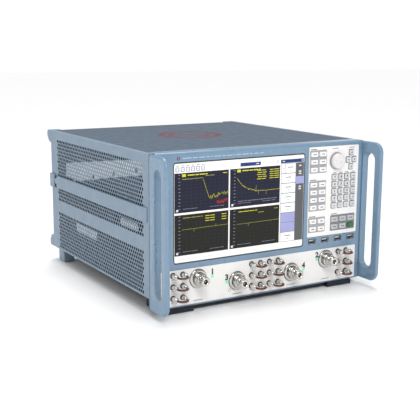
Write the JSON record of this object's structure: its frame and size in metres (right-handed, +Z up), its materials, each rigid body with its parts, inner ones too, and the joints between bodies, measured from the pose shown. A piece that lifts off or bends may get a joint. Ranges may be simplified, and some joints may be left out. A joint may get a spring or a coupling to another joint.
{
  "type": "vector network analyzer",
  "caption": "Bench vector network analyzer with front handles, touch screen, key panel, rotary knob, test ports and coaxial jumper loops.",
  "frame": {"origin": "centre of the footprint, on the surface that the feet stand on", "axes": "+Z up, -Y towards the user at the front panel, +X to the right as the user sees it"},
  "size_m": [0.451, 0.51, 0.269],
  "materials": {
    "front_paint": "satin light steel-blue paint",
    "case_paint": "satin light grey-blue paint, perforated sheet",
    "cover_paint": "satin grey-blue paint",
    "bumper_plastic": "light grey-blue moulded plastic",
    "foot_rubber": "dark navy rubber",
    "panel_foil": "off-white printed panel foil",
    "screen_glass": "touch screen with a lit picture",
    "black_plastic": "black moulded plastic",
    "white_keys": "white silicone key caps",
    "grey_keys": "grey silicone key caps",
    "green_key": "dark green silicone key cap",
    "knob_plastic": "light grey soft-touch plastic",
    "connector_steel": "polished passivated stainless steel",
    "jumper_copper": "lacquered copper tube with nickel nuts",
    "bare_steel": "zinc-plated sheet",
    "module_aluminium": "milled housing",
    "circuit_board": "green solder mask"
  },
  "bodies": {
    "case": {"bumper_bottom_left": "bumper_plastic", "bumper_bottom_right": "bumper_plastic", "bumper_top_left": "bumper_plastic", "bumper_top_right": "bumper_plastic", "chassis": "bare_steel", "display_module": "black_plastic", "front_foot_left": "foot_rubber", "front_foot_right": "foot_rubber", "front_frame": "front_paint", "handle_left": "front_paint", "handle_right": "front_paint", "jumper_bank_left": "jumper_copper", "jumper_bank_middle": "jumper_copper", "jumper_bank_right": "jumper_copper", "key_board": "circuit_board", "key_panel": "panel_foil", "main_board": "circuit_board", "port_panel": "panel_foil", "power_inlet": "black_plastic", "power_supply": "bare_steel", "rear_foot_left": "foot_rubber", "rear_foot_right": "foot_rubber", "rear_panel": "case_paint", "side_panel_left": "case_paint", "side_panel_right": "case_paint", "strap_left": "bumper_plastic", "strap_right": "bumper_plastic", "test_port_1": "connector_steel", "test_port_2": "connector_steel", "test_port_3": "connector_steel", "test_port_4": "connector_steel", "test_set": "module_aluminium", "top_cover": "cover_paint", "touch_screen": "screen_glass"},
    "arrow_key_down": {"arrow_key_down": "grey_keys"},
    "arrow_key_left": {"arrow_key_left": "grey_keys"},
    "arrow_key_right": {"arrow_key_right": "grey_keys"},
    "arrow_key_up": {"arrow_key_up": "grey_keys"},
    "function_keys_1": {"function_keys_1": "white_keys"},
    "function_keys_2": {"function_keys_2": "white_keys"},
    "function_keys_3": {"function_keys_3": "white_keys"},
    "function_keys_4": {"function_keys_4": "white_keys"},
    "function_keys_5": {"function_keys_5": "white_keys"},
    "function_keys_6": {"function_keys_6": "white_keys"},
    "function_keys_7": {"function_keys_7": "white_keys"},
    "function_keys_8": {"function_keys_8": "white_keys"},
    "function_keys_9": {"function_keys_9": "white_keys"},
    "number_keys_1": {"number_keys_1": "grey_keys"},
    "number_keys_2": {"number_keys_2": "grey_keys"},
    "number_keys_3": {"number_keys_3": "grey_keys"},
    "number_keys_4": {"number_keys_4": "grey_keys"},
    "number_keys_5": {"number_keys_5": "grey_keys"},
    "preset_key": {"preset_key": "green_key"},
    "system_keys_lower": {"system_keys_lower": "grey_keys"},
    "system_keys_upper": {"system_keys_upper": "grey_keys"},
    "knob": {"knob": "knob_plastic"},
    "fan_rotor": {"fan_rotor": "black_plastic"},
    "power_rocker": {"power_rocker": "black_plastic"},
    "foot_flap_left": {"foot_flap_left": "foot_rubber"},
    "foot_flap_right": {"foot_flap_right": "foot_rubber"}
  },
  "joints": [
    {"name": "arrow_key_down_press", "type": "slide", "parent": "case", "child": "arrow_key_down", "axis": [0, 1, 0], "range_m": [0, 0.0012], "stiffness_N_per_m": 1200},
    {"name": "arrow_key_left_press", "type": "slide", "parent": "case", "child": "arrow_key_left", "axis": [0, 1, 0], "range_m": [0, 0.0012], "stiffness_N_per_m": 1200},
    {"name": "arrow_key_right_press", "type": "slide", "parent": "case", "child": "arrow_key_right", "axis": [0, 1, 0], "range_m": [0, 0.0012], "stiffness_N_per_m": 1200},
    {"name": "arrow_key_up_press", "type": "slide", "parent": "case", "child": "arrow_key_up", "axis": [0, 1, 0], "range_m": [0, 0.0012], "stiffness_N_per_m": 1200},
    {"name": "function_keys_1_press", "type": "slide", "parent": "case", "child": "function_keys_1", "axis": [0, 1, 0], "range_m": [0, 0.0012], "stiffness_N_per_m": 1200},
    {"name": "function_keys_2_press", "type": "slide", "parent": "case", "child": "function_keys_2", "axis": [0, 1, 0], "range_m": [0, 0.0012], "stiffness_N_per_m": 1200},
    {"name": "function_keys_3_press", "type": "slide", "parent": "case", "child": "function_keys_3", "axis": [0, 1, 0], "range_m": [0, 0.0012], "stiffness_N_per_m": 1200},
    {"name": "function_keys_4_press", "type": "slide", "parent": "case", "child": "function_keys_4", "axis": [0, 1, 0], "range_m": [0, 0.0012], "stiffness_N_per_m": 1200},
    {"name": "function_keys_5_press", "type": "slide", "parent": "case", "child": "function_keys_5", "axis": [0, 1, 0], "range_m": [0, 0.0012], "stiffness_N_per_m": 1200},
    {"name": "function_keys_6_press", "type": "slide", "parent": "case", "child": "function_keys_6", "axis": [0, 1, 0], "range_m": [0, 0.0012], "stiffness_N_per_m": 1200},
    {"name": "function_keys_7_press", "type": "slide", "parent": "case", "child": "function_keys_7", "axis": [0, 1, 0], "range_m": [0, 0.0012], "stiffness_N_per_m": 1200},
    {"name": "function_keys_8_press", "type": "slide", "parent": "case", "child": "function_keys_8", "axis": [0, 1, 0], "range_m": [0, 0.0012], "stiffness_N_per_m": 1200},
    {"name": "function_keys_9_press", "type": "slide", "parent": "case", "child": "function_keys_9", "axis": [0, 1, 0], "range_m": [0, 0.0012], "stiffness_N_per_m": 1200},
    {"name": "number_keys_1_press", "type": "slide", "parent": "case", "child": "number_keys_1", "axis": [0, 1, 0], "range_m": [0, 0.0012], "stiffness_N_per_m": 1200},
    {"name": "number_keys_2_press", "type": "slide", "parent": "case", "child": "number_keys_2", "axis": [0, 1, 0], "range_m": [0, 0.0012], "stiffness_N_per_m": 1200},
    {"name": "number_keys_3_press", "type": "slide", "parent": "case", "child": "number_keys_3", "axis": [0, 1, 0], "range_m": [0, 0.0012], "stiffness_N_per_m": 1200},
    {"name": "number_keys_4_press", "type": "slide", "parent": "case", "child": "number_keys_4", "axis": [0, 1, 0], "range_m": [0, 0.0012], "stiffness_N_per_m": 1200},
    {"name": "number_keys_5_press", "type": "slide", "parent": "case", "child": "number_keys_5", "axis": [0, 1, 0], "range_m": [0, 0.0012], "stiffness_N_per_m": 1200},
    {"name": "preset_key_press", "type": "slide", "parent": "case", "child": "preset_key", "axis": [0, 1, 0], "range_m": [0, 0.0012], "stiffness_N_per_m": 1200},
    {"name": "system_keys_lower_press", "type": "slide", "parent": "case", "child": "system_keys_lower", "axis": [0, 1, 0], "range_m": [0, 0.0012], "stiffness_N_per_m": 1200},
    {"name": "system_keys_upper_press", "type": "slide", "parent": "case", "child": "system_keys_upper", "axis": [0, 1, 0], "range_m": [0, 0.0012], "stiffness_N_per_m": 1200},
    {"name": "knob_turn", "type": "hinge", "parent": "case", "child": "knob", "pos_m": [0.1525, -0.21, 0.2348], "axis": [0, -1, 0], "continuous": true},
    {"name": "fan_spin", "type": "hinge", "parent": "case", "child": "fan_rotor", "pos_m": [0.118, 0.216, 0.164], "axis": [0, 1, 0], "continuous": true},
    {"name": "power_rocker_tip", "type": "hinge", "parent": "case", "child": "power_rocker", "pos_m": [-0.13, 0.231, 0.07], "axis": [-1, 0, 0], "range_deg": [0, 24]},
    {"name": "foot_flap_left_fold", "type": "hinge", "parent": "case", "child": "foot_flap_left", "pos_m": [-0.1695, -0.178, 0.0039], "axis": [-1, 0, 0], "range_deg": [0, 95]},
    {"name": "foot_flap_right_fold", "type": "hinge", "parent": "case", "child": "foot_flap_right", "pos_m": [0.1695, -0.178, 0.0039], "axis": [-1, 0, 0], "range_deg": [0, 95]}
  ]
}
